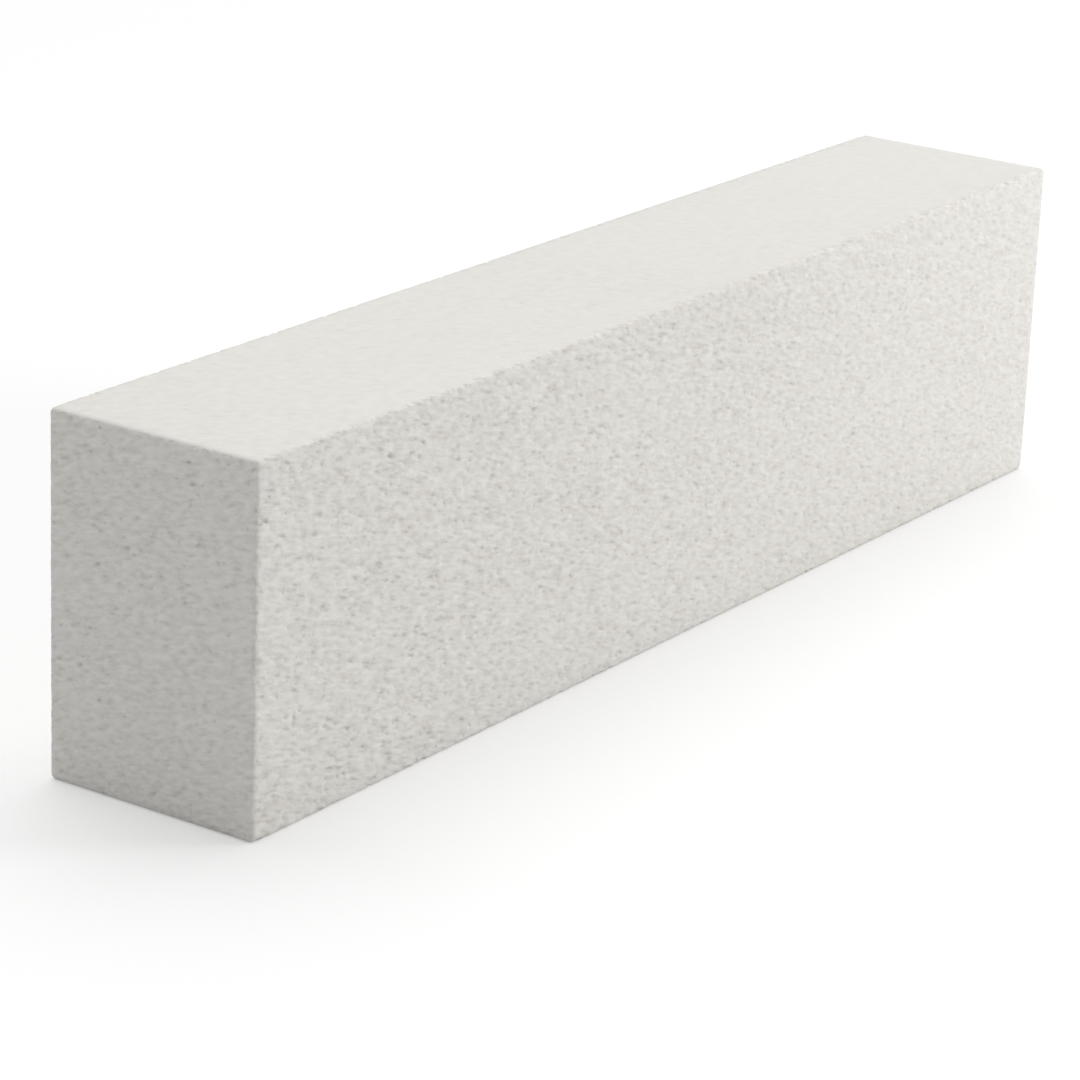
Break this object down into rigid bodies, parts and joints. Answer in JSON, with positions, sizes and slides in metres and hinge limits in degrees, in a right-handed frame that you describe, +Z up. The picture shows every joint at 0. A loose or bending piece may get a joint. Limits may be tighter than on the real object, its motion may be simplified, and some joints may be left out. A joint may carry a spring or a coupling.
{
  "type": "aerated concrete block",
  "caption": "Rectangular autoclaved aerated concrete block with smooth bed faces, open-pored wide faces and lightly rubbed edges, for thin-joint masonry walls.",
  "frame": {"origin": "centre of the lower bed face, on the plane that the block stands on", "axes": "+X along the length, +Y through the thickness towards the back, +Z up"},
  "size_m": [0.6, 0.1, 0.15],
  "materials": {
    "aerated_concrete": "matte, pale warm grey, fine open pores on the wide faces"
  },
  "bodies": {
    "root": {"aerated_block": "aerated_concrete"}
  },
  "joints": []
}
